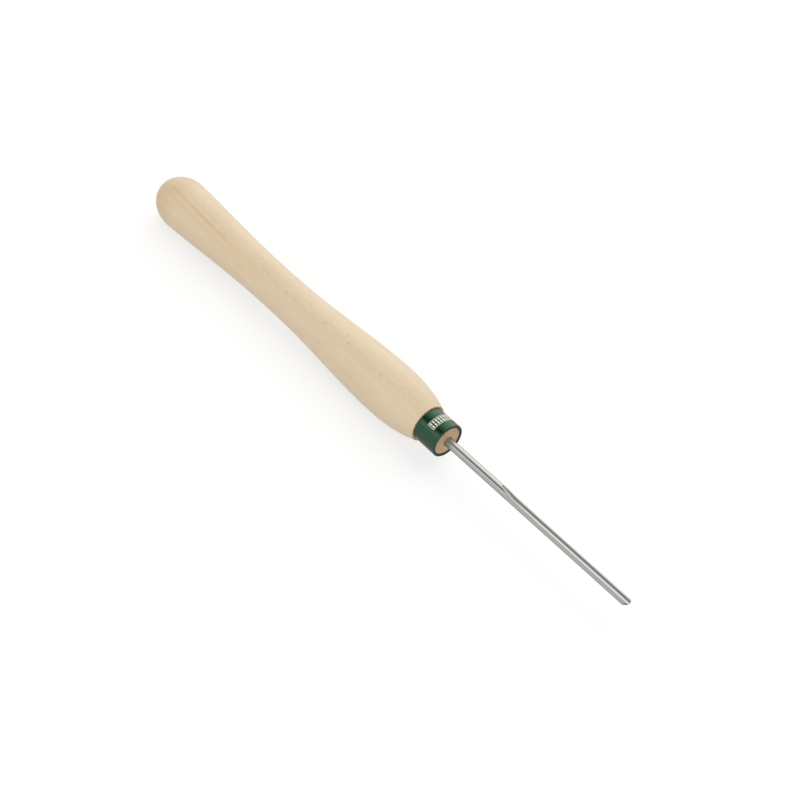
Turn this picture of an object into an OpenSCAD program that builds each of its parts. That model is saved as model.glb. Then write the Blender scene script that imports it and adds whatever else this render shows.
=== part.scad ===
// Spindle gouge: a turned wooden handle, a ferrule on its tenon and a fluted round bar glued in the handle.
// Lengths are in millimetres. X runs along the tool, from the butt to the nose. X is 0 at the shoulder that
// the ferrule sits against. Z is up, and the flute opens upwards.

/* [Handle] */
// Length of the rounded butt
butt_dome = 22.3; // [12:0.1:32]
// Greatest diameter near the butt
butt_d = 37.4; // [32:0.1:44]
// Length of the stretch from the butt to the waist
neck_len = 106; // [70:1:150]
// Diameter of the waist
waist_d = 29.5; // [24:0.1:32]
// Length of the stretch from the waist to the belly
swell_len = 116.5; // [80:0.5:160]
// Diameter of the belly
belly_d = 39.6; // [34:0.1:46]
// Length of the stretch from the belly to the shoulder
front_len = 41.5; // [25:0.5:60]
// Width of the flat shoulder that shows round the ferrule
shoulder_w = 1.45; // [0.8:0.05:3]
// Small round on the rim of the shoulder
rim_round = 0.5; // [0.2:0.05:0.7]
// How soon the butt thins towards the waist: less is sooner
neck_ease = 0.75; // [0.7:0.05:1.2]
// How late the waist swells towards the belly: more is later
swell_ease = 1.2; // [0.8:0.05:1.5]
// How late the belly drops to the shoulder: more is later and sharper
front_fall = 2.5; // [2:0.1:4]

/* [Ferrule] */
// Outside diameter of the ferrule
ferrule_d = 25.4; // [20:0.1:30]
// Length of the ferrule
ferrule_len = 19.8; // [14:0.1:26]
// Thickness of the ferrule's wall
ferrule_wall = 2.2; // [2.1:0.05:2.6]
// Round on the ferrule's front outer edge
ferrule_round = 0.8; // [0.1:0.05:0.9]
// Chamfer on the ferrule's front inner edge
ferrule_lip = 0.95; // [0.2:0.05:1]
// Chamfer on the ferrule's back edges
ferrule_chamfer = 0.2; // [0.1:0.05:0.4]
// Gap all round between the ferrule and the tenon
ferrule_fit = 0.03; // [0.01:0.01:0.1]
// How far the rim of the tenon's end stays behind the ferrule's front
tenon_recess = 0.6; // [0.1:0.1:3]
// How far the tenon's end rises from its rim to its middle
tenon_crown = 0.9; // [0:0.1:2]

/* [Bar] */
// Diameter of the round bar
bar_d = 6.35; // [5.5:0.05:9.6]
// Length of bar that sticks out of the ferrule
bar_reach = 170.3; // [130:0.1:230]
// Length of bar behind the ferrule's front
bar_seat = 58.8; // [45:0.1:80]
// Chamfer on the tang's end
tang_chamfer = 0.6; // [0.2:0.1:1.2]
// Room all round the bar for glue
glue_room = 0.27; // [0.15:0.01:0.5]
// Depth of glue behind the tang's end
glue_floor = 1.5; // [0.5:0.1:4]
// How far the glue stops behind the hole's mouth
glue_back = 3; // [1:0.5:8]
// Gap modelled between the glue and what it holds
glue_gap = 0.01; // [0.005:0.005:0.03]
// Angle across the drill point at the hole's bottom
drill_angle = 118; // [90:1:140]

/* [Flute and nose] */
// Length of plain round shank in front of the ferrule
shank_len = 51.6; // [30:0.1:90]
// Radius of the flute's round floor
flute_r = 3.175; // [2.5:0.025:4]
// Depth of the flute's floor below the middle of the bar
flute_floor = 0.6; // [0.3:0.05:1.8]
// Radius of the wheel that ground the flute, which shapes its run-out
wheel_r = 27; // [14:0.5:60]
// Angle of the nose's bevel to the bar
bevel_angle = 36; // [25:1:50]
// How far the bevel's middle lies above the bar's middle
bevel_rise = 1.2; // [0:0.1:2.4]

/* [Hidden] */
$fn = 96;
// How far a cut runs past what it cuts, in millimetres and in degrees
over = 1;
over_turn = 12;
handle_len = butt_dome + neck_len + swell_len + front_len;
waist_x = -front_len - swell_len;
shoulder_r = ferrule_d / 2 + shoulder_w;
bar_r = bar_d / 2;
bore_r = bar_r + glue_room;
tenon_r = ferrule_d / 2 - ferrule_wall - ferrule_fit;
tenon_end = ferrule_len - tenon_recess;
// Where the hole opens on the crowned end of the tenon
mouth_x = tenon_end + tenon_crown * (1 - bore_r / tenon_r);
tang_x = ferrule_len - bar_seat;
bore_x = tang_x - glue_floor;
nose_x = ferrule_len + bar_reach;
// The wheel leaves the bar's top at the end of the plain shank, and cuts to full depth from flute_x on
wheel_depth = bar_r + flute_floor;
run_out = sqrt(2 * wheel_r * wheel_depth - pow(wheel_depth, 2));
flute_x = ferrule_len + shank_len + run_out;
wheel_z = wheel_r - flute_floor;
wheel_turn = acos(1 - wheel_depth / wheel_r) + over_turn;
// Point of the cone that the bevel is part of
bevel_tip_x = nose_x + (bevel_rise + flute_floor) / tan(bevel_angle);
// Steps along each stretch of the handle's outline, and round its small edges
dome_steps = 16;
blend_steps = 24;
front_steps = 20;
edge_step = 15;

// Radius part way from one station to the next, along a smooth S curve
function swept(r0, r1, t) = r0 + (r1 - r0) * (1 - cos(180 * t)) / 2;
// Outline of the handle from the butt to the shoulder, as [x, radius]
function handle_outline() = concat(
    [for (i = [0 : dome_steps]) let (a = 90 * i / dome_steps)
        [-handle_len + butt_dome * (1 - cos(a)), butt_d / 2 * sin(a)]],
    [for (i = [1 : blend_steps]) let (t = i / blend_steps)
        [waist_x - neck_len * (1 - t), swept(butt_d / 2, waist_d / 2, pow(t, neck_ease))]],
    [for (i = [1 : blend_steps]) let (t = i / blend_steps)
        [waist_x + swell_len * t, swept(waist_d / 2, belly_d / 2, pow(t, swell_ease))]],
    [for (i = [1 : front_steps]) let (t = i / front_steps)
        [-front_len + (front_len - rim_round) * t,
         belly_d / 2 - (belly_d / 2 - shoulder_r) * pow(t, front_fall)]],
    [for (a = [edge_step : edge_step : 90])
        [-rim_round * (1 - sin(a)), shoulder_r - rim_round * (1 - cos(a))]]);

// Turns an outline of [x, radius] points about X
module turned(outline) {
    rotate([0, 90, 0])
        rotate_extrude()
            polygon([for (p = outline) [p[1], p[0]]]);
}

// A hole of radius r that ends in a drill point, open at the front up to x1
module drilled(x0, x1, r) {
    turned([[x0 - r / tan(drill_angle / 2), 0], [x0, r], [x1, r], [x1, 0]]);
}

// The bar's plain outline with its chamfered tang, grown by a gap
module plain_bar(gap) {
    turned([[tang_x - gap, 0], [tang_x - gap, bar_r - tang_chamfer + gap],
            [tang_x + tang_chamfer - gap, bar_r + gap], [nose_x + over, bar_r + gap], [nose_x + over, 0]]);
}

// Section of the wheel's rim, with the wheel's middle at 0 and its rim towards +X
module wheel_rim() {
    translate([wheel_r - flute_r, 0])
        circle(r = flute_r);
    translate([0, -flute_r])
        square([wheel_r - flute_r, 2 * flute_r]);
}

// The flute's cut: a straight run past the nose, and a run-out in the shape of the wheel
module flute_cut() {
    translate([flute_x, 0, wheel_z])
        rotate([0, 90, 0])
            linear_extrude(height = nose_x - flute_x + 2 * over)
                wheel_rim();
    translate([flute_x, 0, wheel_z])
        rotate([90, 90, 0])
            rotate_extrude(angle = -wheel_turn)
                wheel_rim();
}

// What the grinder takes off round the nose, outside the bevel's cone
module bevel_cut() {
    reach = 2 * bar_d;
    translate([0, 0, bevel_rise])
        turned([[bevel_tip_x, 0], [bevel_tip_x - reach / tan(bevel_angle), reach],
                [bevel_tip_x + over, reach], [bevel_tip_x + over, 0]]);
}

module handle() {
    color("burlywood")
        difference() {
            turned(concat(handle_outline(),
                          [[0, tenon_r], [tenon_end, tenon_r], [tenon_end + tenon_crown, 0]]));
            drilled(bore_x, tenon_end + tenon_crown + over, bore_r);
        }
}

module ferrule() {
    outer = ferrule_d / 2;
    inner = outer - ferrule_wall;
    color("darkgreen")
        turned(concat(
            [[ferrule_chamfer, inner], [0, inner + ferrule_chamfer], [0, outer - ferrule_chamfer],
             [ferrule_chamfer, outer]],
            [for (a = [0 : edge_step : 90])
                [ferrule_len - ferrule_round * (1 - sin(a)), outer - ferrule_round * (1 - cos(a))]],
            [[ferrule_len, inner + ferrule_lip], [ferrule_len - ferrule_lip, inner]]));
}

module blade() {
    color("lightsteelblue")
        difference() {
            plain_bar(0);
            flute_cut();
            bevel_cut();
        }
}

module epoxy_sleeve() {
    color("khaki")
        difference() {
            drilled(bore_x, mouth_x - glue_back, bore_r - glue_gap);
            plain_bar(glue_gap);
        }
}

handle();
ferrule();
blade();
epoxy_sleeve();
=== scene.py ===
"""Looks of a spindle gouge: a turned beech handle, a green ferrule and a fluted steel bar.

Lengths are in metres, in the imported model's own frame. X runs from the butt to the nose and is 0 at the
handle's shoulder, and Z is the way that the flute opens.
"""

import logging
import math
from collections.abc import Sequence
from dataclasses import dataclass, field
from enum import Enum
from typing import Any

import bmesh
import bpy
from bpy.types import ColorRamp, Material, Node, NodeSocket, NodeTree, Object
from mathutils import Matrix, Vector


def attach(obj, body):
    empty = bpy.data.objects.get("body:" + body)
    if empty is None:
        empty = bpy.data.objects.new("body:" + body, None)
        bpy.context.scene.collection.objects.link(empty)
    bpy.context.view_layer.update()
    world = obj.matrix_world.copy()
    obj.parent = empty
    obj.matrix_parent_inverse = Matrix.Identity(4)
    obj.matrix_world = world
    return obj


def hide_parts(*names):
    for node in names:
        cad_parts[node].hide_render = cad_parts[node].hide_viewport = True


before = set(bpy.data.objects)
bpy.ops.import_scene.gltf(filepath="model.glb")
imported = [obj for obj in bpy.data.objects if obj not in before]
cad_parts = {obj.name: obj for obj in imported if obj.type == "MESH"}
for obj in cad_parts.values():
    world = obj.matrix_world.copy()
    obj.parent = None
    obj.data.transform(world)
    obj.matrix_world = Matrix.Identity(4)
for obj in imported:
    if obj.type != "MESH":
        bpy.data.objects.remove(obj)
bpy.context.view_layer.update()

LOG = logging.getLogger("spindle_gouge")
MM = 0.001
MERGE = 0.002 * MM
SHARP_ANGLE = math.radians(28)
BODY = "root"

Colour = tuple[float, float, float, float]
Point = tuple[float, float]
Span = tuple[float, float]
Place = tuple[float, float, float]
Size = tuple[float, float, float]
Settings = dict[str, Any] | None
Inputs = dict[str | int, Any] | None

WHITE: Colour = (1.0, 1.0, 1.0, 1.0)
EASED = {"interpolation_type": "SMOOTHSTEP", "clamp": True}

# Unit steps on an outline, which has points of place along X and radius
BACK: Point = (-1.0, 0.0)
FRONT: Point = (1.0, 0.0)
OUTWARDS: Point = (0.0, 1.0)
INWARDS: Point = (0.0, -1.0)


class Slot(Enum):
    """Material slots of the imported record."""

    BEECH = "beech"
    ENAMEL = "green_enamel"
    STEEL = "ground_steel"
    GLUE = "set_epoxy"


class Cut(Enum):
    """How a wooden surface lies to the grain."""

    LONG = "long"
    END = "end"


def srgb(red: int, green: int, blue: int) -> Colour:
    """Turns a colour as a screen shows it, in parts from 0 to 255, into the linear one that shaders take."""
    shares = [value / 255 for value in (red, green, blue)]
    return (*(s / 12.92 if s <= 0.04045 else ((s + 0.055) / 1.055) ** 2.4 for s in shares), 1.0)


class Wire:
    """A value in a node tree: an output socket whose arithmetic adds Math nodes."""

    def __init__(self, socket: NodeSocket) -> None:
        """Keeps the socket and the sheet that it is on."""
        self.socket = socket
        self.sheet = Sheet(socket.id_data)

    def math(self, operation: str, *operands: Any) -> "Wire":
        """The result of a new Math node, on its operands in order or on this value alone."""
        inputs = dict(enumerate(operands or (self,)))
        return self.sheet.wire("ShaderNodeMath", {"operation": operation}, inputs)

    def __add__(self, other: Any) -> "Wire":
        """This value plus another."""
        return self.math("ADD", self, other)

    __radd__ = __add__

    def __sub__(self, other: Any) -> "Wire":
        """This value less another."""
        return self.math("SUBTRACT", self, other)

    def __rsub__(self, other: Any) -> "Wire":
        """Another value less this one."""
        return self.math("SUBTRACT", other, self)

    def __mul__(self, other: Any) -> "Wire":
        """This value times another."""
        return self.math("MULTIPLY", self, other)

    __rmul__ = __mul__

    def __truediv__(self, other: Any) -> "Wire":
        """This value over another."""
        return self.math("DIVIDE", self, other)

    def __rtruediv__(self, other: Any) -> "Wire":
        """Another value over this one."""
        return self.math("DIVIDE", other, self)

    def rise(self, low: float, high: float) -> "Wire":
        """An eased share, from 0 at the low value to 1 at the high one, which may be the lesser number."""
        inputs = {"Value": self, "From Min": low, "From Max": high}
        return self.sheet.wire("ShaderNodeMapRange", EASED, inputs)


class Sheet:
    """A node tree that is filled in by code."""

    def __init__(self, tree: NodeTree) -> None:
        """Keeps the tree."""
        self.tree = tree

    def node(self, kind: str, settings: Settings = None, inputs: Inputs = None) -> Node:
        """Adds a node.

        Args:
            kind: The node's type.
            settings: Its settings, which are set first. A ramp's stops are a list of place and colour.
            inputs: Values or wires for its sockets, by name or number.

        Returns:
            The new node.
        """
        made = self.tree.nodes.new(kind)
        for name, value in (settings or {}).items():
            if name == "stops":
                self._set_stops(made.color_ramp, value)
            else:
                setattr(made, name, value)
        for key, value in (inputs or {}).items():
            if isinstance(value, Wire):
                self.tree.links.new(value.socket, made.inputs[key])
            else:
                made.inputs[key].default_value = value
        return made

    def wire(self, kind: str, settings: Settings = None, inputs: Inputs = None,
             output: str | int = 0) -> Wire:
        """One output of a new node, by its name or number."""
        return Wire(self.node(kind, settings, inputs).outputs[output])

    def mix(self, share: Any, first: Any, second: Any) -> Wire:
        """A mix of two colours or wires, with a share of the second."""
        settings = {"data_type": "RGBA", "blend_type": "MIX", "clamp_factor": True}
        return self.wire("ShaderNodeMix", settings, {0: share, 6: first, 7: second}, 2)

    def vector(self, x: Any, y: Any, z: Any) -> Wire:
        """Joins three values into a vector."""
        return self.wire("ShaderNodeCombineXYZ", None, {"X": x, "Y": y, "Z": z})

    def axes(self, vector: Wire) -> tuple[Wire, Wire, Wire]:
        """Splits a vector into its three values."""
        made = self.node("ShaderNodeSeparateXYZ", None, {0: vector})
        return Wire(made.outputs[0]), Wire(made.outputs[1]), Wire(made.outputs[2])

    def noise(self, axes: Sequence[Wire], size: Size, detail: float = 2.0, rough: float = 0.5) -> Wire:
        """Smooth noise about 0.

        Args:
            axes: The three values that it is read at.
            size: How long a grain is along each of them.
            detail: How many finer layers are added.
            rough: How strong the finer layers are.

        Returns:
            Noise from about -0.5 to 0.5.
        """
        place = self.vector(*(axis / length for axis, length in zip(axes, size, strict=True)))
        inputs = {"Vector": place, "Scale": 1.0, "Detail": detail, "Roughness": rough}
        return self.wire("ShaderNodeTexNoise", {"noise_dimensions": "3D"}, inputs) - 0.5

    @staticmethod
    def _set_stops(ramp: ColorRamp, stops: Sequence[tuple[float, Colour]]) -> None:
        """Sets a ramp's stops.

        Args:
            ramp: The ramp, which starts with two stops.
            stops: Pairs of place and colour.
        """
        while len(ramp.elements) < len(stops):
            ramp.elements.new(1.0)
        for element, (place, colour) in zip(ramp.elements, stops, strict=True):
            element.position = place
            element.color = colour


class Surface(Sheet):
    """A new material's sheet, with the place on the piece and the shader."""

    def __init__(self, name: str) -> None:
        """Starts a material with nothing but the place on the piece.

        Args:
            name: The material's name.
        """
        self.material = bpy.data.materials.new(name)
        self.material.use_nodes = True
        super().__init__(self.material.node_tree)
        self.tree.nodes.clear()
        self.place = self.axes(self.wire("ShaderNodeTexCoord", None, None, "Object"))
        self.x, self.y, self.z = self.place

    def shade(self, **sockets: Any) -> Material:
        """Ends the material in a Principled shader.

        Args:
            sockets: Values or wires by socket name, with _ for each space.

        Returns:
            The finished material.
        """
        inputs = {name.replace("_", " "): value for name, value in sockets.items()}
        shader = self.node("ShaderNodeBsdfPrincipled", None, inputs)
        output = self.node("ShaderNodeOutputMaterial")
        self.tree.links.new(shader.outputs[0], output.inputs[0])
        return self.material

    def bump(self, height: Wire, depth: float, strength: float = 1.0) -> Wire:
        """A normal that is bumped by a height, with the depth that a height of 1 has."""
        inputs = {"Strength": strength, "Distance": depth, "Height": height}
        return self.wire("ShaderNodeBump", None, inputs)


@dataclass(frozen=True)
class BeechFinish:
    """Pale beech under a satin lacquer, with growth rings, ray flecks and fine pores in the solid wood.

    A tone is how much a mark adds of the dark colour, and a tint how much it adds of the fleck's colour. A
    run is where along X a mark starts and where it is full, and a row is its two sides across the rings.
    The other spans have the values at which a mark starts and at which it is full.
    """

    name: str = "beech_lacquered"
    cut: Cut = Cut.LONG
    pale: Colour = srgb(221, 203, 174)
    dark: Colour = srgb(200, 174, 140)
    fleck: Colour = srgb(206, 173, 120)
    ring_turn_deg: float = 31.0
    ring_lean: float = 0.045
    ring_wander: float = 1 * MM
    ring_pitch: float = 5 * MM
    ring_start: float = 78 * MM
    ring_edge: float = 0.16
    pith_away: float = 90 * MM
    wander_size: Size = (60 * MM, 16 * MM, 16 * MM)
    mottle_size: Size = (6 * MM, 2.5 * MM, 2.5 * MM)
    pore_size: Size = (3 * MM, 0.6 * MM, 0.6 * MM)
    pit_size: Size = (1.1 * MM, 1.1 * MM, 1.1 * MM)
    pit_edge: Span = (-0.05, 0.25)
    fleck_apart: float = 5 * MM
    fleck_tall: float = 9 * MM
    fleck_reach: float = 5.5 * MM
    fleck_run: Span = (-270 * MM, -120 * MM)
    fleck_least: float = 0.3
    fleck_edge: Span = (0.3, 0.08)
    fleck_chance: Span = (0.15, 0.9)
    streak_row: Span = (-10 * MM, 4 * MM)
    streak_run: Span = (-188 * MM, -222 * MM)
    warm_row: Span = (-15 * MM, 1 * MM)
    warm_run: Span = (-110 * MM, -222 * MM)
    dome_run: Span = (-250 * MM, -286 * MM)
    turning_pitch: float = 0.9 * MM
    turning_wander: float = 2.0
    base_tone: float = 0.2
    wander_tone: float = 0.5
    mottle_tone: float = 0.35
    pore_tone: float = 0.5
    ring_tone: float = 0.06
    dome_tone: float = 0.75
    turning_tone: float = 0.12
    end_tint: float = 0.08
    fleck_tint: float = 0.6
    streak_tint: float = 0.42
    warm_tint: float = 0.25
    dome_tint: float = 0.12
    relief: float = 0.04 * MM
    relief_strength: float = 0.4
    pore_height: float = 0.6
    fleck_height: float = -0.3
    turning_height: float = 0.04
    roughness: float = 0.38
    pore_rough: float = 0.12
    fleck_rough: float = 0.1
    specular: float = 0.3
    coat: float = 0.1
    coat_rough: float = 0.2

    def material(self) -> Material:
        """Builds the wood.

        Returns:
            The finished material.
        """
        wood = Surface(self.name)
        turn = math.radians(self.ring_turn_deg)
        radial = wood.y * math.cos(turn) + wood.z * math.sin(turn)
        across = wood.z * math.cos(turn) - wood.y * math.sin(turn)
        wander = wood.noise((wood.x, radial, across), self.wander_size, detail=3.0)
        mottle = wood.noise((wood.x, radial, across), self.mottle_size)
        pores = wood.noise(wood.place, self.pore_size, detail=3.0, rough=0.6)
        rings = self._rings(wood, radial, across, wander)
        flecks = self._flecks(wood, radial)
        turning = (wood.x * (math.tau / self.turning_pitch) + wander * self.turning_wander).math("SINE")
        if self.cut is Cut.END:
            pits = wood.noise(wood.place, self.pit_size, detail=3.0, rough=0.65)
            marks, tint = pits.rise(*self.pit_edge), rings * self.end_tint
        else:
            dome = wood.x.rise(*self.dome_run)
            bare = 1.0 - dome
            streaks = wood.x.rise(*self.streak_run) * self._row(radial, self.streak_row) * bare
            warm = wood.x.rise(*self.warm_run) * self._row(radial, self.warm_row) * bare
            marks = rings * self.ring_tone + dome * (turning * self.turning_tone + self.dome_tone)
            tint = flecks * self.fleck_tint + rings * streaks * self.streak_tint
            tint = tint + warm * self.warm_tint + dome * self.dome_tint
        tone = marks + wander * self.wander_tone + mottle * self.mottle_tone + pores * self.pore_tone
        colour = wood.mix(tone + self.base_tone, self.pale, self.dark)
        colour = wood.mix(tint, colour, self.fleck)
        height = pores * self.pore_height + flecks * self.fleck_height + turning * self.turning_height
        normal = wood.bump(height, self.relief, self.relief_strength)
        rough = self.roughness + pores * self.pore_rough + flecks * self.fleck_rough
        return wood.shade(Base_Color=colour, Roughness=rough, Normal=normal, Coat_Weight=self.coat,
                          Coat_Roughness=self.coat_rough, Specular_IOR_Level=self.specular)

    @staticmethod
    def _row(radial: Wire, row: Span) -> Wire:
        """A share that is most in the middle of a row, given from its low to its high side."""
        middle = sum(row) / 2
        return radial.rise(row[0], middle) * radial.rise(row[1], middle)

    def _rings(self, wood: Surface, radial: Wire, across: Wire, wander: Wire) -> Wire:
        """Growth rings round a pith that lies outside the handle.

        Args:
            wood: The material's sheet.
            radial: The distance along the rings' own direction.
            across: The distance along the rings.
            wander: Slow noise that bends the rings.

        Returns:
            A share that is most at the late wood of each ring.
        """
        away = radial + self.pith_away
        reach = (away * away + across * across).math("SQRT")
        ring = reach + wood.x * self.ring_lean + wander * self.ring_wander
        place = ((ring - self.ring_start) / self.ring_pitch + 0.5).math("FRACT")
        return place.rise(self.ring_edge, 0.5) * place.rise(1 - self.ring_edge, 0.5)

    def _flecks(self, wood: Surface, radial: Wire) -> Wire:
        """Ray flecks: thin plates on the rings' radii, which show where the surface lies along them.

        Args:
            wood: The material's sheet.
            radial: The distance along the rings' own direction.

        Returns:
            A share that is 1 in a fleck.
        """
        place = wood.vector(wood.x / self.fleck_apart, radial / self.fleck_tall, 0.0)
        inputs = {"Vector": place, "Scale": 1.0}
        cells = wood.node("ShaderNodeTexVoronoi", {"feature": "F1", "voronoi_dimensions": "2D"}, inputs)
        inside = Wire(cells.outputs["Distance"]).rise(*self.fleck_edge)
        chance = wood.axes(Wire(cells.outputs["Color"]))[0].rise(*self.fleck_chance)
        near = (radial * radial).rise(self.fleck_reach**2, (self.fleck_reach / 2) ** 2)
        grown = wood.x.rise(*self.fleck_run) * (1 - self.fleck_least) + self.fleck_least
        return inside * chance * near * grown


@dataclass(frozen=True)
class EnamelFinish:
    """Dark green metallic paint under a clear coat, with a slight orange peel."""

    name: str = "green_gloss"
    deep: Colour = (0.0025, 0.049, 0.0145, 1.0)
    light: Colour = (0.0035, 0.064, 0.021, 1.0)
    edge_tint: Colour = (0.0, 0.1, 0.04, 1.0)
    patch_size: Size = (5 * MM, 7 * MM, 7 * MM)
    peel_size: Size = (1 * MM, 1 * MM, 1 * MM)
    peel_depth: float = 0.02 * MM
    peel_strength: float = 0.15
    roughness: float = 0.29
    patch_rough: float = 0.08
    coat: float = 0.95
    coat_rough: float = 0.05
    coat_ior: float = 1.45

    def material(self) -> Material:
        """Builds the paint.

        Returns:
            The finished material.
        """
        paint = Surface(self.name)
        patch = paint.noise(paint.place, self.patch_size, detail=3.0)
        peel = paint.noise(paint.place, self.peel_size, detail=1.0)
        colour = paint.mix(patch + 0.5, self.deep, self.light)
        rough = self.roughness + patch * self.patch_rough
        normal = paint.bump(peel, self.peel_depth, self.peel_strength)
        return paint.shade(Base_Color=colour, Metallic=1.0, Roughness=rough, Specular_Tint=self.edge_tint,
                           Normal=normal, Coat_Weight=self.coat, Coat_Roughness=self.coat_rough,
                           Coat_IOR=self.coat_ior)


@dataclass(frozen=True)
class SteelFinish:
    """Ground tool steel: fine lines round the bar, a rougher run-out whose hollow is painted darker as
    painted shade, and a rougher start at the ferrule mixed a little toward a lighter grey.

    The last two have the places along X where each starts and where it is full.
    """

    bar_radius: float
    name: str = "ground_steel"
    bright: Colour = (0.45, 0.446, 0.438, 1.0)
    dull: Colour = (0.39, 0.387, 0.381, 1.0)
    painted_run_out_shade: Colour = (0.3, 0.297, 0.292, 1.0)
    mouth_grey: Colour = (0.6, 0.6, 0.6, 1.0)
    edge_tint: Colour = (0.32, 0.32, 0.32, 1.0)
    line_size: Size = (0.45 * MM, 20 * MM, 20 * MM)
    line_depth: float = 0.1 * MM
    line_tone: float = 1.5
    patch_size: Size = (9 * MM, 4 * MM, 4 * MM)
    hollow_share: float = 0.9
    run_out: Span = (106 * MM, 80 * MM)
    mouth_run: Span = (29 * MM, 24.5 * MM)
    mouth_grey_share: float = 0.12
    roughness: float = 0.12
    line_rough: float = 0.12
    patch_rough: float = 0.08
    run_rough: float = 0.22
    mouth_rough: float = 0.27

    def material(self) -> Material:
        """Builds the steel.

        Returns:
            The finished material.
        """
        steel = Surface(self.name)
        lines = steel.noise(steel.place, self.line_size)
        patch = steel.noise(steel.place, self.patch_size)
        away = steel.y * steel.y + steel.z * steel.z
        hollow = away.rise(self.bar_radius**2, (self.hollow_share * self.bar_radius) ** 2)
        run = steel.x.rise(*self.run_out) * hollow
        near_mouth = steel.x.rise(*self.mouth_run)
        colour = steel.mix(patch + lines * self.line_tone + 0.5, self.bright, self.dull)
        # Painted shade: the run-out's hollow mixes toward a dark grey, streaked by the grinding lines, in
        # place of the shade in the hollow; its extra roughness is real.
        colour = steel.mix(run * (lines + 0.5), colour, self.painted_run_out_shade)
        # Near the ferrule the steel mixes a little toward a lighter grey and is rougher.
        colour = steel.mix(near_mouth * self.mouth_grey_share, colour, self.mouth_grey)
        rough = self.roughness + lines * self.line_rough + patch * self.patch_rough
        rough = rough + run * self.run_rough + near_mouth * self.mouth_rough
        normal = steel.bump(lines, self.line_depth)
        return steel.shade(Base_Color=colour, Metallic=1.0, Roughness=rough, Normal=normal,
                           Specular_Tint=self.edge_tint)


@dataclass(frozen=True)
class MottledFinish:
    """A finish that wanders between two colours."""

    name: str
    first: Colour
    second: Colour
    mottle_size: Size
    detail: float = 2.0
    second_share: float = 0.5
    roughness: float = 0.5
    mottle_rough: float = 0.2
    specular: float = 0.5
    coat: float = 0.0
    coat_rough: float = 0.03

    def material(self) -> Material:
        """Builds the finish.

        Returns:
            The finished material.
        """
        sheet = Surface(self.name)
        mottle = sheet.noise(sheet.place, self.mottle_size, self.detail)
        colour = sheet.mix(mottle + self.second_share, self.first, self.second)
        rough = self.roughness + mottle * self.mottle_rough
        return sheet.shade(Base_Color=colour, Roughness=rough, Specular_IOR_Level=self.specular,
                           Coat_Weight=self.coat, Coat_Roughness=self.coat_rough)


@dataclass(frozen=True)
class PaintedShadeFinish(MottledFinish):
    """Painted shade for the ferrule's edges and inside: near-black greens in place of the shadow in the gaps
    at its ends, mottled at random.
    """

    name: str = "dark_edge"
    first: Colour = (0.008, 0.014, 0.011, 1.0)
    second: Colour = (0.012, 0.034, 0.021, 1.0)
    mottle_size: Size = (1 * MM, 1.5 * MM, 1.5 * MM)
    detail: float = 3.0
    roughness: float = 0.55
    specular: float = 0.3


@dataclass(frozen=True)
class InkFinish(MottledFinish):
    """Silver-white ink, printed a little unevenly."""

    name: str = "silver_ink"
    first: Colour = srgb(240, 238, 228)
    second: Colour = srgb(206, 206, 194)
    mottle_size: Size = (0.7 * MM, 0.7 * MM, 0.7 * MM)
    second_share: float = 0.4
    roughness: float = 0.4
    coat: float = 0.4
    coat_rough: float = 0.2


@dataclass(frozen=True)
class GlueFinish(MottledFinish):
    """Set amber glue, a little cloudy."""

    name: str = "set_glue"
    first: Colour = srgb(196, 160, 96)
    second: Colour = srgb(150, 116, 66)
    mottle_size: Size = (2 * MM, 1 * MM, 1 * MM)
    roughness: float = 0.3
    coat: float = 0.5


class Recipe(Sheet):
    """A Geometry Nodes tree with named inputs, run on one piece and then baked."""

    def __init__(self, name: str) -> None:
        """Starts an empty tree with a geometry in and out.

        Args:
            name: The tree's name.
        """
        super().__init__(bpy.data.node_groups.new(name, "GeometryNodeTree"))
        for way in ("INPUT", "OUTPUT"):
            self.tree.interface.new_socket("Geometry", in_out=way, socket_type="NodeSocketGeometry")
        self.entry = self.tree.nodes.new("NodeGroupInput")
        self.values: dict[str, Any] = {}

    def size(self, name: str, value: Any, kind: str = "NodeSocketFloat") -> Wire:
        """Adds a named input.

        Args:
            name: What the input is.
            value: Its value in this piece.
            kind: Its socket's type.

        Returns:
            The input as a wire.
        """
        socket = self.tree.interface.new_socket(name, in_out="INPUT", socket_type=kind)
        self.values[socket.identifier] = value
        return Wire(self.entry.outputs[name])

    def count(self, name: str, value: int) -> Wire:
        """Adds a named whole number."""
        return self.size(name, value, "NodeSocketInt")

    def close(self, shape: Wire, finish: Material) -> None:
        """Ends the tree: makes instances real and gives the shape its finish.

        Args:
            shape: The geometry to hand out.
            finish: Its material.
        """
        material = self.size("Finish", finish, "NodeSocketMaterial")
        real = self.wire("GeometryNodeRealizeInstances", None, {"Geometry": shape})
        done = self.wire("GeometryNodeSetMaterial", None, {"Geometry": real, "Material": material})
        output = self.tree.nodes.new("NodeGroupOutput")
        self.tree.links.new(done.socket, output.inputs[0])

    def bake(self, piece: Object) -> None:
        """Runs the tree on a piece and keeps the result as its plain mesh.

        Args:
            piece: The piece, whose mesh is the tree's geometry.
        """
        modifier = piece.modifiers.new(self.tree.name, "NODES")
        modifier.node_group = self.tree
        for identifier, value in self.values.items():
            modifier[identifier] = value
        graph = bpy.context.evaluated_depsgraph_get()
        baked = bpy.data.meshes.new_from_object(piece.evaluated_get(graph), depsgraph=graph)
        piece.modifiers.clear()
        piece.data = baked
        baked.name = piece.name
        while baked.materials[0] is None:
            baked.materials.pop(index=0)


def new_piece(name: str, points: Sequence[Sequence[float]] = (), edges: Sequence[Sequence[int]] = (),
              faces: Sequence[Sequence[int]] = ()) -> Object:
    """Adds an object at the origin.

    Args:
        name: The piece's name.
        points: Its mesh's points.
        edges: Its loose edges, as pairs of point numbers.
        faces: Its faces, as rings of point numbers.

    Returns:
        The new object.
    """
    mesh = bpy.data.meshes.new(name)
    mesh.from_pydata(list(points), list(edges), list(faces))
    piece = bpy.data.objects.new(name, mesh)
    bpy.context.scene.collection.objects.link(piece)
    return piece


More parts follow.
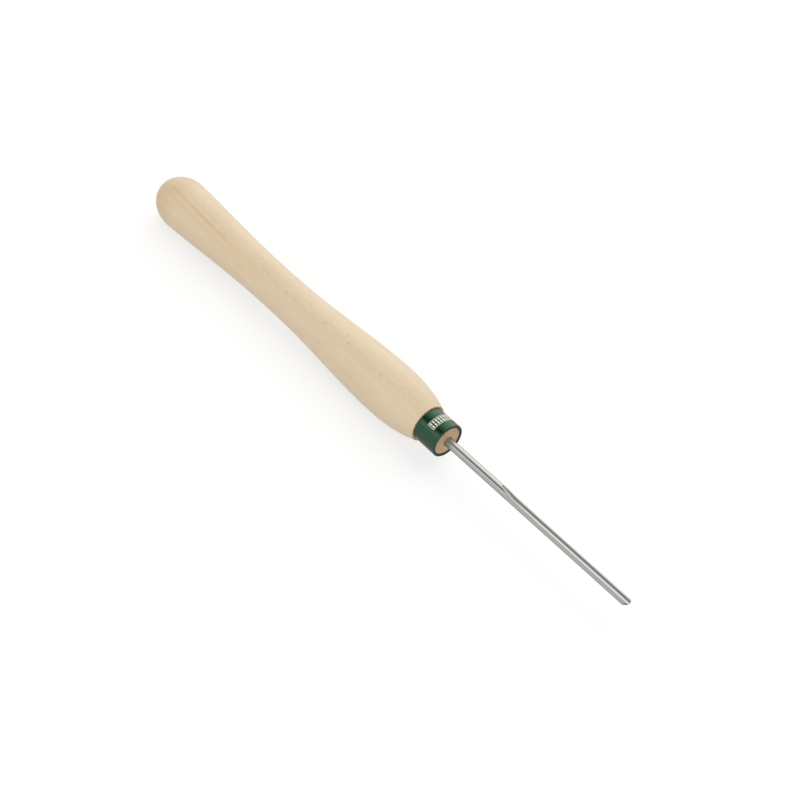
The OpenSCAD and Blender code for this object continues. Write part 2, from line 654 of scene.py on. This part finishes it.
def tidy_shell(piece: Object) -> None:
    """Closes a piece's seams and poles, points its faces outwards and shades it smooth between edges.

    Args:
        piece: The piece to finish.
    """
    shell = bmesh.new()
    shell.from_mesh(piece.data)
    bmesh.ops.remove_doubles(shell, verts=shell.verts, dist=MERGE)
    bmesh.ops.dissolve_degenerate(shell, edges=shell.edges, dist=MERGE)
    bmesh.ops.recalc_face_normals(shell, faces=shell.faces)
    for face in shell.faces:
        face.smooth = True
    shell.to_mesh(piece.data)
    shell.free()
    piece.data.set_sharp_from_angle(angle=SHARP_ANGLE)


def turn_piece(name: str, outline: Sequence[Point], segments: int, finish: Material) -> Object:
    """Turns an outline about X, as a lathe does, with a Geometry Nodes tree.

    Args:
        name: The piece's name.
        outline: Points of place along X and radius.
        segments: How many steps there are round the piece.
        finish: The piece's material.

    Returns:
        The turned piece, as a closed mesh.
    """
    chain = [(i, i + 1) for i in range(len(outline) - 1)]
    piece = new_piece(name, [(x, 0.0, r) for x, r in outline], chain)
    lathe = Recipe(f"turned_{name}")
    steps = lathe.count("Segments", segments)
    drawn = Wire(lathe.entry.outputs["Geometry"])
    stations = lathe.wire("GeometryNodeAttributeDomainSize", {"component": "MESH"}, {"Geometry": drawn},
                          "Point Count")
    columns = steps + 1
    grid = lathe.wire("GeometryNodeMeshGrid", None, {"Vertices X": stations, "Vertices Y": columns})
    number = lathe.wire("GeometryNodeInputIndex")
    station = (number / columns).math("FLOOR")
    place = lathe.wire("GeometryNodeInputPosition")
    sampled = lathe.wire("GeometryNodeSampleIndex", {"data_type": "FLOAT_VECTOR", "domain": "POINT"},
                         {"Geometry": drawn, "Value": place, "Index": station})
    along, _, radius = lathe.axes(sampled)
    angle = (number - station * columns) * math.tau / steps
    spun = lathe.vector(along, radius * angle.math("SINE"), radius * angle.math("COSINE"))
    shape = lathe.wire("GeometryNodeSetPosition", None, {"Geometry": grid, "Position": spun})
    merged = lathe.wire("GeometryNodeMergeByDistance", None, {"Geometry": shape, "Distance": MERGE})
    lathe.close(merged, finish)
    lathe.bake(piece)
    tidy_shell(piece)
    return piece


def rounded(corner: Point, before: Point, after: Point, radius: float, steps: int = 5) -> list[Point]:
    """Rounds a square corner of an outline.

    Args:
        corner: The corner.
        before: Which way the outline comes from, as a unit step away from the corner.
        after: Which way the outline goes on, as a unit step away from the corner.
        radius: The round's radius.
        steps: How many steps the round has.

    Returns:
        The round's points in order.
    """
    centre = [corner[i] + radius * (before[i] + after[i]) for i in range(2)]
    points = []
    for step in range(steps + 1):
        angle = math.pi / 2 * step / steps
        reach = [after[i] * math.cos(angle) + before[i] * math.sin(angle) for i in range(2)]
        points.append((centre[0] - radius * reach[0], centre[1] - radius * reach[1]))
    return points


def dress(piece: Object, slot: Slot | None, *nodes: str) -> None:
    """Hands a finished piece to the frame and reports it.

    Args:
        piece: The finished piece.
        slot: The record's slot for its finish, if it has one; not used.
        nodes: The CAD nodes that it stands for.
    """
    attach(piece, BODY)
    if nodes:
        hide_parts(*nodes)
    LOG.info("%s: %d faces, for %s", piece.name, len(piece.data.polygons), ", ".join(nodes) or "no node")


@dataclass
class Ferrule:
    """The green tube on the handle's tenon, with a plain printed band."""

    radius: float = 12.7 * MM
    length: float = 19.8 * MM
    wall: float = 2.2 * MM
    front_round: float = 0.8 * MM
    front_chamfer: float = 0.95 * MM
    # The front, inside and back widths below are painted shade: near-black paint where the gaps at the
    # tube's ends lie in shadow.
    front_painted_shade: float = 0.3 * MM
    inside_painted_shade: float = 0.855 * MM
    edge_round: float = 0.2 * MM
    back_round: float = 0.45 * MM
    back_painted_shade: float = 0.65 * MM
    segments: int = 192
    front_steps: int = 8
    print_middle: float = 9.95 * MM
    bars: int = 10
    rows: int = 2
    bar_pitch: float = 2.21 * MM
    bar_length: float = 1.15 * MM
    bar_width: float = 1.9 * MM
    bar_points: int = 5
    row_pitch: float = 2.4 * MM
    rule_width: float = 0.36 * MM
    rule_points: int = 65
    end_points: int = 3
    film: float = 0.04 * MM

    @property
    def bore(self) -> float:
        """Radius of the inside of the tube."""
        return self.radius - self.wall

    def build(self, finish: EnamelFinish, edge: PaintedShadeFinish, ink: InkFinish) -> None:
        """Makes the tube and its print, and hands them in.

        Args:
            finish: The tube's paint.
            edge: Painted shade for the tube's edges and inside, in place of the shadow in the gaps at its
                ends.
            ink: The print's ink.
        """
        outline = [
            *rounded((0.0, self.bore), FRONT, OUTWARDS, self.edge_round),
            *rounded((0.0, self.radius), INWARDS, FRONT, self.back_round),
            (self.back_painted_shade, self.radius),
            *rounded((self.length, self.radius), BACK, INWARDS, self.front_round, self.front_steps),
            (self.length, self.bore + self.front_chamfer),
            (self.length - self.front_chamfer, self.bore),
        ]
        tube = turn_piece("ferrule_tube", [*outline, outline[0]], self.segments, finish.material())
        # The tube's edges and inside get painted shade, a near-black finish in place of the shadow in the
        # gaps.
        tube.data.materials.append(edge.material())
        for face in tube.data.polygons:
            face.material_index = int(self._in_painted_shade(face.center))
        dress(tube, Slot.ENAMEL, "ferrule")
        dress(self._print(ink.material()), None)

    def _in_painted_shade(self, place: Vector) -> bool:
        """Whether a place on the tube gets the painted shade.

        Args:
            place: The place.

        Returns:
            True on the inside, on the turn of the front edge and on the band at the back.
        """
        away = math.hypot(place.y, place.z)
        turned = place.x > self.length - self.front_painted_shade and away > self.radius - self.front_round
        return turned or away < self.bore + self.inside_painted_shade or place.x < self.back_painted_shade

    def _print(self, ink: Material) -> Object:
        """Makes the printed band: rows of plain bars in a ruled border, wrapped round the tube.

        Args:
            ink: The print's material.

        Returns:
            The print as one thin piece.
        """
        press = Recipe("printed_band")
        bars, rows = press.count("Bars", self.bars), press.count("Rows", self.rows)
        pitch, row_pitch = press.size("Bar pitch", self.bar_pitch), press.size("Row pitch", self.row_pitch)
        bar = press.size("Bar width", self.bar_width), press.size("Bar length", self.bar_length)
        film, rule = press.size("Film", self.film), press.size("Rule width", self.rule_width)
        radius, middle = press.size("Radius", self.radius), press.size("Middle", self.print_middle)
        wide, long = rows * row_pitch + rule * 2, bars * pitch + rule * 2
        spread = (rows - 1) * row_pitch, (bars - 1) * pitch
        parts = [
            self._blocks(press, (rows, bars), spread, (*bar, film), self.bar_points),
            self._blocks(press, (2, 1), (wide, 0.0), (rule, long, film), self.rule_points),
            self._blocks(press, (1, 2), (0.0, long), (wide, rule, film), self.end_points),
        ]
        join = press.node("GeometryNodeJoinGeometry")
        for part in parts:
            press.tree.links.new(part.socket, join.inputs[0])
        flat = press.wire("GeometryNodeRealizeInstances", None, {"Geometry": Wire(join.outputs[0])})
        along, around, lift = press.axes(press.wire("GeometryNodeInputPosition"))
        angle, reach = around / radius, radius + lift
        wrapped = press.vector(along + middle, reach * angle.math("SINE"), reach * angle.math("COSINE"))
        shape = press.wire("GeometryNodeSetPosition", None, {"Geometry": flat, "Position": wrapped})
        press.close(shape, ink)
        piece = new_piece("ferrule_print")
        press.bake(piece)
        tidy_shell(piece)
        return piece

    @staticmethod
    def _blocks(press: Recipe, counts: Sequence[Any], spread: Sequence[Any], size: Sequence[Wire],
                points: int) -> Wire:
        """Flat blocks of ink in rows, with enough points round the tube to bend.

        Args:
            press: The print's tree.
            counts: How many blocks there are along the tube and round it.
            spread: How far apart the first and last middles are, both ways.
            size: A block's width, length and thickness.
            points: How many points a block has along its length.

        Returns:
            The blocks, as instances.
        """
        block = press.wire("GeometryNodeMeshCube", None, {"Size": press.vector(*size), "Vertices Y": points})
        spots = press.wire("GeometryNodeMeshGrid", None, {
            "Size X": spread[0], "Size Y": spread[1], "Vertices X": counts[0], "Vertices Y": counts[1]})
        return press.wire("GeometryNodeInstanceOnPoints", None, {"Points": spots, "Instance": block})


@dataclass
class Blade:
    """The round bar with its ground flute, its run-out and the bevel round its nose."""

    ferrule: Ferrule
    radius: float = 3.175 * MM
    seat: float = 58.8 * MM
    reach: float = 170.3 * MM
    shank_length: float = 51.6 * MM
    tang_chamfer: float = 0.6 * MM
    flute_radius: float = 3.175 * MM
    flute_floor: float = 0.6 * MM
    wheel_radius: float = 27 * MM
    bevel_deg: float = 36.0
    bevel_rise: float = 1.2 * MM
    bevel_room: float = 2 * MM
    bevel_touch: float = 0.1 * MM
    columns: int = 96
    run_steps: int = 44
    straight_steps: int = 36
    shank_steps: int = 22
    bevel_steps: int = 4
    halvings: int = 48
    points: list[Place] = field(default_factory=list)
    faces: list[list[int]] = field(default_factory=list)

    def __post_init__(self) -> None:
        """Works out the bar's places from the ferrule's front, and the wheel's and the bevel's."""
        self.tang_x = self.ferrule.length - self.seat
        self.shank_end = self.ferrule.length + self.shank_length
        self.nose_x = self.ferrule.length + self.reach
        depth = self.radius + self.flute_floor
        self.flute_x = self.shank_end + math.sqrt(2 * self.wheel_radius * depth - depth * depth)
        self.wheel_z = self.wheel_radius - self.flute_floor
        self.slope = math.tan(math.radians(self.bevel_deg))
        self.bevel_tip = self.nose_x + (self.bevel_rise + self.flute_floor) / self.slope

    def floor_z(self, x: float, y: float) -> float:
        """Height of the flute's surface, as the wheel cut it, at a place along the bar and across it."""
        rim = self.wheel_radius - self.flute_radius + math.sqrt(max(self.flute_radius**2 - y * y, 0.0))
        return self.wheel_z - math.sqrt(rim * rim - max(self.flute_x - x, 0.0) ** 2)

    def lip_y(self, x: float) -> float:
        """Half of the flute's width at a place along the bar.

        Args:
            x: Place along the bar.

        Returns:
            The distance from the middle to the lip, which is 0 on the plain shank.
        """
        if x <= self.shank_end:
            return 0.0
        low, high = 0.0, self.radius
        for _ in range(self.halvings):
            middle = (low + high) / 2
            if self.floor_z(x, middle) < math.sqrt(self.radius**2 - middle * middle):
                low = middle
            else:
                high = middle
        return low

    def bevel_x(self, y: float, z: float) -> float:
        """Place along the bar at which the bevel's cone passes a point of the section."""
        return self.bevel_tip - math.hypot(y, z - self.bevel_rise) / self.slope

    def outer(self, x: float, share: float) -> Point:
        """A point of the round outside.

        Args:
            x: Place along the bar.
            share: Share of the way from one lip, round the bottom, to the other lip.

        Returns:
            The point's place across and its height.
        """
        start = math.asin(self.lip_y(x) / self.radius)
        angle = start + (math.tau - 2 * start) * share
        return self.radius * math.sin(angle), self.radius * math.cos(angle)

    def edge_y(self, share: float) -> float:
        """Place across of the cutting edge, on the same line of the bevel's cone as a point of the outside.

        Args:
            share: Share of the way from lip to lip.

        Returns:
            The edge's place across the flute.
        """
        y, z = self.outer(self.nose_x, share)
        turn = math.atan2(y, self.bevel_rise - z)
        drop = self.bevel_rise - (self.flute_radius - self.flute_floor)
        reach = drop * math.cos(turn) + math.sqrt(self.flute_radius**2 - (drop * math.sin(turn)) ** 2)
        return reach * math.sin(turn)

    def build(self, finish: SteelFinish, painted_shade_bevel_steel: SteelFinish) -> None:
        """Makes the bar and hands it in.

        Args:
            finish: The bar's steel.
            painted_shade_bevel_steel: The bevel's steel, darker than the bar's as painted shade on the
                facet.
        """
        shares = [step / self.columns for step in range(self.columns + 1)]
        spread = [self.edge_y(share) for share in shares]
        heel = [self._on_cone(*self.outer(self.nose_x, share)) for share in shares]
        edge = [self._on_cone(y, self.floor_z(self.nose_x, y)) for y in spread]
        section = [self.outer(self.tang_x, share) for share in shares]
        tang = [[(self.tang_x, y * size, z * size) for y, z in section]
                for size in (0.0, 1 - self.tang_chamfer / self.radius)]
        tang_end = self.tang_x + self.tang_chamfer
        outside = [[(x, *self.outer(x, share)) for share in shares] for x in self._stations(tang_end)]
        hollow = [self._hollow(x, spread) for x in self._stations(self.shank_end)]
        self._skin([*tang, *outside, heel])
        self._skin([*hollow, edge])
        self._bevel(heel, edge)
        bar = new_piece("gouge_blade", self.points, (), self.faces)
        bar.data.materials.append(finish.material())
        bar.data.materials.append(painted_shade_bevel_steel.material())
        tidy_shell(bar)
        for face in bar.data.polygons:
            face.material_index = int(self._on_bevel(face.center))
        dress(bar, Slot.STEEL, "blade")

    def _stations(self, start: float) -> list[float]:
        """Places along the bar at which it has a ring of points, up to just behind the bevel.

        Args:
            start: The first place.

        Returns:
            The places in order.
        """
        shank = [start + (self.shank_end - start) * i / self.shank_steps for i in range(self.shank_steps)]
        run = [self.shank_end + (self.flute_x - self.shank_end) * (i / self.run_steps) ** 2
               for i in range(self.run_steps + 1)]
        end = self.bevel_x(0.0, -self.radius) - self.bevel_room
        straight = [self.flute_x + (end - self.flute_x) * i / self.straight_steps
                    for i in range(1, self.straight_steps + 1)]
        return [*(shank if start < self.shank_end else []), *run, *straight]

    def _on_cone(self, y: float, z: float) -> Place:
        """The point of the bevel's cone that lies over a point of the section."""
        return self.bevel_x(y, z), y, z

    def _hollow(self, x: float, spread: Sequence[float]) -> list[Place]:
        """The flute's section at a place along the bar, with its points spread as on the cutting edge."""
        share = self.lip_y(x) / self.lip_y(self.nose_x)
        return [(x, y * share, self.floor_z(x, y * share)) for y in spread]

    def _skin(self, rings: Sequence[Sequence[Place]]) -> None:
        """Adds faces between rings of points that have as many points each.

        Args:
            rings: The rings in order.
        """
        first, wide = len(self.points), len(rings[0])
        self.points.extend(point for ring in rings for point in ring)
        for row in range(len(rings) - 1):
            for column in range(wide - 1):
                corner = first + row * wide + column
                self.faces.append([corner, corner + 1, corner + wide + 1, corner + wide])

    def _bevel(self, heel: Sequence[Place], edge: Sequence[Place]) -> None:
        """Adds the bevel between its back edge and the cutting edge.

        Args:
            heel: The points of its back edge.
            edge: The points of the cutting edge, as many.
        """
        shares = [row / self.bevel_steps for row in range(self.bevel_steps + 1)]
        self._skin([[tuple(Vector(h).lerp(Vector(e), share)) for h, e in zip(heel, edge, strict=True)]
                    for share in shares])

    def _on_bevel(self, place: Vector) -> bool:
        """Whether a place on the bar is on the bevel's cone."""
        return abs(place.x - self.bevel_x(place.y, place.z)) < self.bevel_touch


@dataclass
class Handle:
    """The turned handle, with its shoulder, its tenon and the drilled hole for the bar."""

    ferrule: Ferrule
    blade: Blade
    butt_dome: float = 22.3 * MM
    butt_radius: float = 18.7 * MM
    neck_length: float = 106 * MM
    waist_radius: float = 14.75 * MM
    swell_length: float = 116.5 * MM
    belly_radius: float = 19.8 * MM
    front_length: float = 41.5 * MM
    shoulder_width: float = 1.45 * MM
    rim_round: float = 0.5 * MM
    end_grain_x: float = -0.1 * MM
    neck_ease: float = 0.75
    swell_ease: float = 1.2
    front_fall: float = 2.5
    tenon_fit: float = 0.03 * MM
    tenon_recess: float = 0.6 * MM
    tenon_crown: float = 0.9 * MM
    edge_round: float = 0.15 * MM
    glue_room: float = 0.27 * MM
    glue_floor: float = 1.5 * MM
    drill_deg: float = 118.0
    segments: int = 160
    steps: int = 44

    def __post_init__(self) -> None:
        """Works out the handle's length, the tenon's radius and the hole."""
        self.length = self.butt_dome + self.neck_length + self.swell_length + self.front_length
        self.shoulder = self.ferrule.radius + self.shoulder_width
        self.tenon_radius = self.ferrule.bore - self.tenon_fit
        self.tenon_end = self.ferrule.length - self.tenon_recess
        self.hole_radius = self.blade.radius + self.glue_room
        self.hole_bottom = self.blade.tang_x - self.glue_floor
        self.mouth_x = self.tenon_end + self.tenon_crown * (1 - self.hole_radius / self.tenon_radius)

    def drill_point(self, radius: float) -> float:
        """Length of the point that the drill leaves on a hole of a radius."""
        return radius / math.tan(math.radians(self.drill_deg / 2))

    def resting_slope(self) -> tuple[float, float]:
        """The line that the handle rests on, under its butt and its belly.

        Returns:
            The line's slope along X, and its height at X 0.
        """
        butt_x = self.butt_dome - self.length
        slope = (self.butt_radius - self.belly_radius) / (-self.front_length - butt_x)
        reach = math.sqrt(1 + slope * slope)
        return slope, -self.belly_radius * reach + slope * self.front_length

    def build(self, long_grain: BeechFinish, end_grain: BeechFinish) -> None:
        """Makes the handle and hands it in.

        Args:
            long_grain: The finish of the turned outside.
            end_grain: The finish of the shoulder and the tenon's end.
        """
        outline = [*self._outside(), *self._inside()]
        piece = turn_piece("handle_turned", outline, self.segments, long_grain.material())
        piece.data.materials.append(end_grain.material())
        for face in piece.data.polygons:
            face.material_index = int(face.center.x > self.end_grain_x)
        dress(piece, Slot.BEECH, "handle")

    def _outside(self) -> list[Point]:
        """The outline from the butt to the rim of the shoulder.

        Returns:
            Its points in order.
        """
        waist_x = -self.front_length - self.swell_length
        shares = [step / self.steps for step in range(1, self.steps + 1)]
        points = [(-self.length, 0.0)]
        for share in shares:
            angle = share * math.pi / 2
            x = self.butt_dome * (1 - math.cos(angle)) - self.length
            points.append((x, self.butt_radius * math.sin(angle)))
        for share in shares:
            swept = self._swept(self.butt_radius, self.waist_radius, share**self.neck_ease)
            points.append((waist_x - self.neck_length * (1 - share), swept))
        for share in shares:
            swept = self._swept(self.waist_radius, self.belly_radius, share**self.swell_ease)
            points.append((waist_x + self.swell_length * share, swept))
        for share in shares:
            x = (self.front_length - self.rim_round) * share - self.front_length
            drop = (self.belly_radius - self.shoulder) * share**self.front_fall
            points.append((x, self.belly_radius - drop))
        return points + rounded((0.0, self.shoulder), BACK, INWARDS, self.rim_round)[1:]

    def _inside(self) -> list[Point]:
        """The outline of the shoulder's face, the tenon and the hole, to the point that the drill left.

        Returns:
            Its points in order.
        """
        return [
            (0.0, self.tenon_radius),
            *rounded((self.tenon_end, self.tenon_radius), BACK, INWARDS, self.edge_round),
            *rounded((self.mouth_x, self.hole_radius), OUTWARDS, BACK, self.edge_round),
            (self.hole_bottom, self.hole_radius),
            (self.hole_bottom - self.drill_point(self.hole_radius), 0.0),
        ]

    @staticmethod
    def _swept(start: float, end: float, share: float) -> float:
        """A radius part way along a smooth S curve."""
        return start + (end - start) * (1 - math.cos(math.pi * share)) / 2


@dataclass
class GlueSleeve:
    """The set glue between the bar and its hole."""

    handle: Handle
    gap: float = 0.01 * MM
    back: float = 3 * MM
    segments: int = 64

    def build(self, finish: GlueFinish) -> None:
        """Makes the sleeve and hands it in.

        Args:
            finish: The glue's finish.
        """
        handle, blade = self.handle, self.handle.blade
        outer, inner = handle.hole_radius - self.gap, blade.radius + self.gap
        bottom, front = handle.hole_bottom, handle.mouth_x - self.back
        tang, chamfer = blade.tang_x - self.gap, blade.tang_chamfer
        outline = [
            (bottom - handle.drill_point(outer), 0.0),
            (bottom, outer),
            (front, outer),
            (front, inner),
            (tang + chamfer, inner),
            (tang, inner - chamfer),
            (tang, 0.0),
        ]
        piece = turn_piece("glue_sleeve", outline, self.segments, finish.material())
        dress(piece, Slot.GLUE, "epoxy_sleeve")


@dataclass
class PhotoCamera:
    """The camera, placed by how the ferrule's front and the tool's axis lie in the picture.

    Places in the picture are counted from the middle of its first pixel.
    """

    picture: float = 800.0
    focal: float = 2400.0
    sensor_mm: float = 36.0
    dip_deg: float = 41.95
    tilt_deg: float = 28.5
    flute_turn_deg: float = 49.0
    front: Point = (447.465, 441.004)
    ferrule_width: float = 38.65
    clip_near: float = 0.01
    clip_far: float = 100.0

    def build(self, ferrule: Ferrule) -> None:
        """Adds the camera and makes it the scene's own.

        Args:
            ferrule: The ferrule, whose front sets the camera's distance.
        """
        depth = 2 * ferrule.radius * self.focal / self.ferrule_width
        half = (self.picture - 1) / 2
        across, up = (self.front[0] - half) / self.focal, (half - self.front[1]) / self.focal
        turn = self._turn()
        place = Vector((ferrule.length, 0, 0)) - turn @ Vector((across, up, -1.0)) * depth
        lens = bpy.data.cameras.new("camera")
        lens.sensor_width = self.sensor_mm
        lens.lens = self.sensor_mm * self.focal / self.picture
        lens.clip_start, lens.clip_end = self.clip_near, self.clip_far
        camera = bpy.data.objects.new("camera", lens)
        camera.matrix_world = Matrix.Translation(place) @ turn.to_4x4()
        bpy.context.scene.collection.objects.link(camera)
        bpy.context.scene.camera = camera
        LOG.info("camera: %.3f m from the ferrule", depth)

    def _turn(self) -> Matrix:
        """How the camera is turned, from how the tool's axis and its flute are seen.

        Returns:
            The rotation from the camera's axes to the frame's.
        """
        dip, tilt, turn = (math.radians(a) for a in (self.dip_deg, self.tilt_deg, self.flute_turn_deg))
        axis = Vector((math.cos(tilt) * math.cos(dip), -math.cos(tilt) * math.sin(dip), math.sin(tilt)))
        toward = (Vector((0, 0, 1)) - axis * axis.z).normalized()
        seen = Matrix((axis, toward, axis.cross(toward))).transposed()
        own_axis, own_toward = Vector((1, 0, 0)), Vector((0, -math.sin(turn), math.cos(turn)))
        own = Matrix((own_axis, own_toward, own_axis.cross(own_toward)))
        return (seen @ own).transposed()


@dataclass
class Studio:
    """A white floor and low white walls, under soft light in long bands beside and above the tool.

    A band is a lean in degrees, from the far side to the near one, and the light that comes from there.
    The front bands take over where a direction's part along X is in their reach, and the walls end where
    its part along Z is in theirs.
    """

    bands: tuple[Point, ...] = (
        (-90, 1.4), (-71, 2.05), (-51, 2.2), (-35, 2.0), (-20, 1.68), (-6, 1.27), (6, 0.92), (16, 0.64),
        (24, 0.42), (30, 0.24), (35, 0.14), (40, 0.15), (45, 0.45), (51, 0.86), (58, 1.23), (68, 1.5),
        (78, 1.46), (90, 1.23))
    front_bands: tuple[Point, ...] = (
        (-90, 0.05), (-45, 0.05), (-10, 0.05), (20, 1.39), (50, 2.06), (90, 2.06))
    front_reach: Span = (0.15, 0.45)
    glow: Colour = (1.0, 0.98, 0.94, 1.0)
    wall_reach: Span = (0.1, 0.3)
    floor_size: float = 60.0
    floor_grey: float = 0.76
    floor_seen: float = 0.3
    floor_fill: float = 0.7

    def build(self, handle: Handle) -> None:
        """Adds the light and the floor.

        Args:
            handle: The handle, which rests on the floor.
        """
        bpy.context.scene.view_settings.view_transform = "Standard"
        self._light()
        self._floor(handle)

    def _light(self) -> None:
        """Lights the scene by the direction round X, down to white walls all round."""
        world = bpy.data.worlds.new("studio")
        world.use_nodes = True
        bpy.context.scene.world = world
        sky = Sheet(world.node_tree)
        sky.tree.nodes.clear()
        x, y, z = sky.axes(sky.wire("ShaderNodeTexCoord", None, None, "Generated"))
        lean = y.math("ARCTAN2", 0.0 - y, z) / math.pi + 0.5
        peak = max(light for _, light in (*self.bands, *self.front_bands))
        back, front = (sky.wire("ShaderNodeValToRGB", {"stops": self._stops(bands, peak)}, {"Fac": lean})
                       for bands in (self.bands, self.front_bands))
        colour = sky.mix(x.rise(*self.front_reach), back, front)
        lamps = sky.wire("ShaderNodeBackground", None, {"Color": colour, "Strength": peak})
        walls = sky.wire("ShaderNodeBackground", None, {"Color": WHITE, "Strength": 1.0})
        above = z.rise(*self.wall_reach)
        both = sky.wire("ShaderNodeMixShader", None, {0: above, 1: walls, 2: lamps})
        sky.node("ShaderNodeOutputWorld", None, {"Surface": both})

    def _stops(self, bands: Sequence[Point], peak: float) -> list[tuple[float, Colour]]:
        """A ramp's stops for bands of light as shares of a peak, warm on the far side only."""
        return [((lean_deg + 90) / 180, self._dimmed(self.glow if lean_deg < 0 else WHITE, light / peak))
                for lean_deg, light in bands]

    @staticmethod
    def _dimmed(colour: Colour, share: float) -> Colour:
        """A share of a colour's light."""
        return (colour[0] * share, colour[1] * share, colour[2] * share, 1.0)

    def _floor(self, handle: Handle) -> None:
        """Adds the floor, which keeps the tool's soft shadow.

        Args:
            handle: The handle, which rests on the floor.
        """
        slope, height = handle.resting_slope()
        half = self.floor_size / 2
        square = ((-half, -half), (half, -half), (half, half), (-half, half))
        floor = new_piece("floor", [(x, y, height + slope * x) for x, y in square], (), [(0, 1, 2, 3)])
        paper = Surface("white_floor")
        paths = paper.node("ShaderNodeLightPath")
        seen = Wire(paths.outputs["Is Camera Ray"]) + Wire(paths.outputs["Is Glossy Ray"])
        seen = seen + Wire(paths.outputs["Is Transmission Ray"])
        matt = paper.wire("ShaderNodeBsdfDiffuse", None, {"Color": self._dimmed(WHITE, self.floor_grey)})
        pale = paper.wire("ShaderNodeBsdfDiffuse", None, {"Color": self._dimmed(WHITE, self.floor_seen)})
        fill = paper.wire("ShaderNodeEmission", None, {"Strength": self.floor_fill})
        lit = paper.wire("ShaderNodeAddShader", None, {0: pale, 1: fill})
        both = paper.wire("ShaderNodeMixShader", None, {0: seen, 1: matt, 2: lit})
        paper.node("ShaderNodeOutputMaterial", None, {"Surface": both})
        floor.data.materials.append(paper.material)
        LOG.info("floor: slope %.5f, height %.4f m at the shoulder", slope, height)


def main() -> None:
    """Builds the camera, the pieces and the studio in order."""
    logging.basicConfig(level=logging.INFO, format="%(name)s: %(message)s")
    ferrule = Ferrule()
    blade = Blade(ferrule)
    handle = Handle(ferrule, blade)
    PhotoCamera().build(ferrule)
    end_grain = BeechFinish("beech_end_grain", Cut.END, pale=srgb(199, 172, 134), dark=srgb(152, 119, 82))
    handle.build(BeechFinish(), end_grain)
    ferrule.build(EnamelFinish(), PaintedShadeFinish(), InkFinish())
    # The bevel's steel is darker than the bar's: painted shade on the facet.
    painted_shade_bevel_steel = SteelFinish(blade.radius, "ground_bevel",
                        bright=(0.29, 0.287, 0.282, 1.0), dull=(0.25, 0.248, 0.244, 1.0))
    blade.build(SteelFinish(blade.radius), painted_shade_bevel_steel)
    GlueSleeve(handle).build(GlueFinish())
    Studio().build(handle)


if __name__ == "__main__":
    main()
